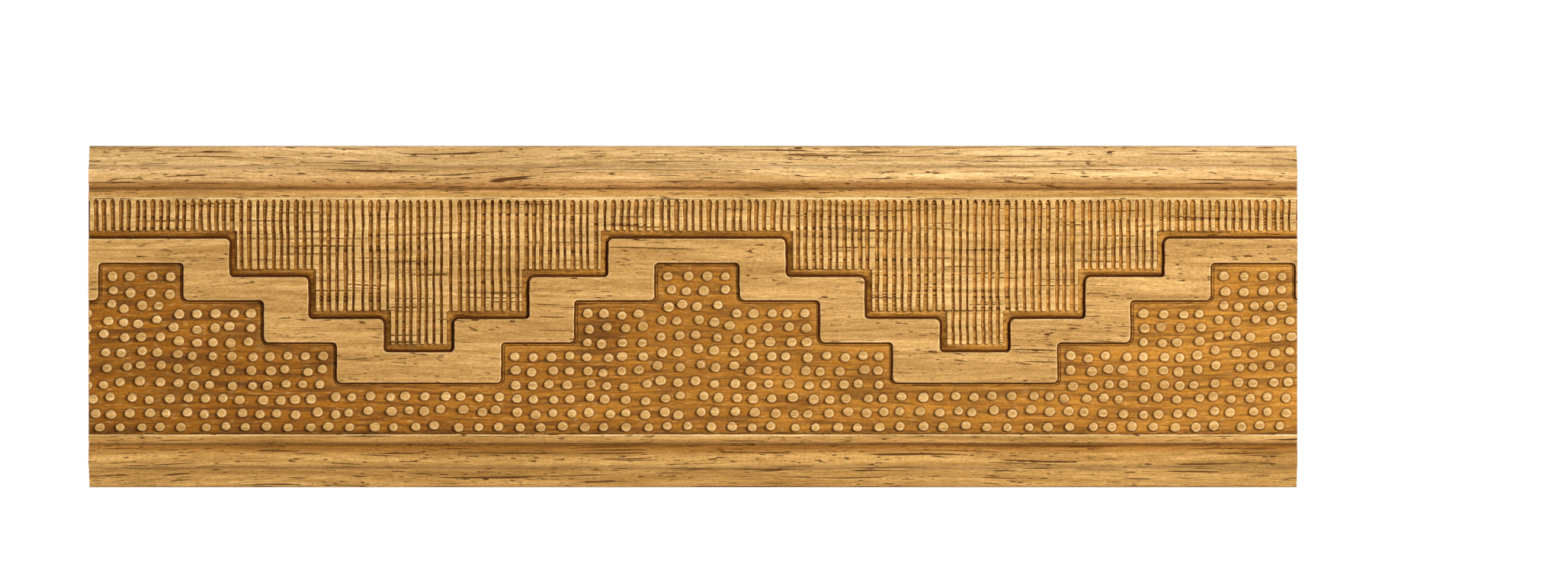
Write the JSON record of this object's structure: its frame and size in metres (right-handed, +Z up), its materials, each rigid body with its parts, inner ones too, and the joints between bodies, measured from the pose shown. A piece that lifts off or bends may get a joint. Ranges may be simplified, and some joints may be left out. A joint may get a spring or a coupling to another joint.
{
  "type": "carved wooden moulding",
  "caption": "Flat strip of pale wood moulding with a stair-step band between a reeded field and a pegged ground, a bead along each long edge, and square-cut ends.",
  "frame": {"origin": "middle of the flat back", "axes": "+X along the strip, +Z up across its width with the reeded field at the top, +Y out of the back, so the carved face looks along -Y"},
  "size_m": [0.1942, 0.008, 0.055],
  "materials": {
    "wood": "bare pale wood, sanded, with burnt orange-brown in the pressed parts"
  },
  "bodies": {
    "root": {"moulding": "wood"}
  },
  "joints": []
}
